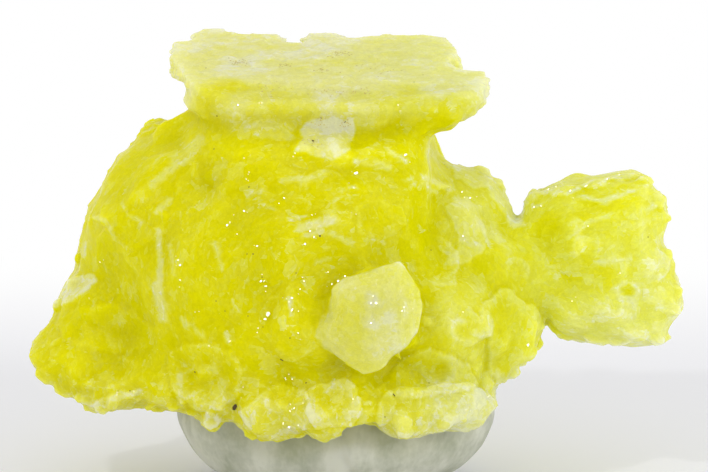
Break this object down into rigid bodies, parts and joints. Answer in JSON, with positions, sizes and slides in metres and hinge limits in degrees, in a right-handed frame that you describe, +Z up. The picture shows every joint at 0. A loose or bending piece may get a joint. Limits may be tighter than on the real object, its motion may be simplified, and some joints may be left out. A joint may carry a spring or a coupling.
{
  "type": "brucite specimen",
  "caption": "Yellow brucite mineral specimen: a domed crystal cluster with a flat slab on top and a fan of blades at one side, standing on a lump of grey display putty.",
  "frame": {"origin": "centre of the putty's flat underside, where the specimen stands", "axes": "+X to the side where the fan of blades stands out, +Y from the display side to the back, +Z up"},
  "size_m": [0.0499, 0.0266, 0.0339],
  "materials": {
    "brucite": "translucent waxy crystals, glossy cleavage faces",
    "putty": "smooth satin putty"
  },
  "bodies": {
    "root": {"brucite": "brucite", "putty": "putty"}
  },
  "joints": []
}
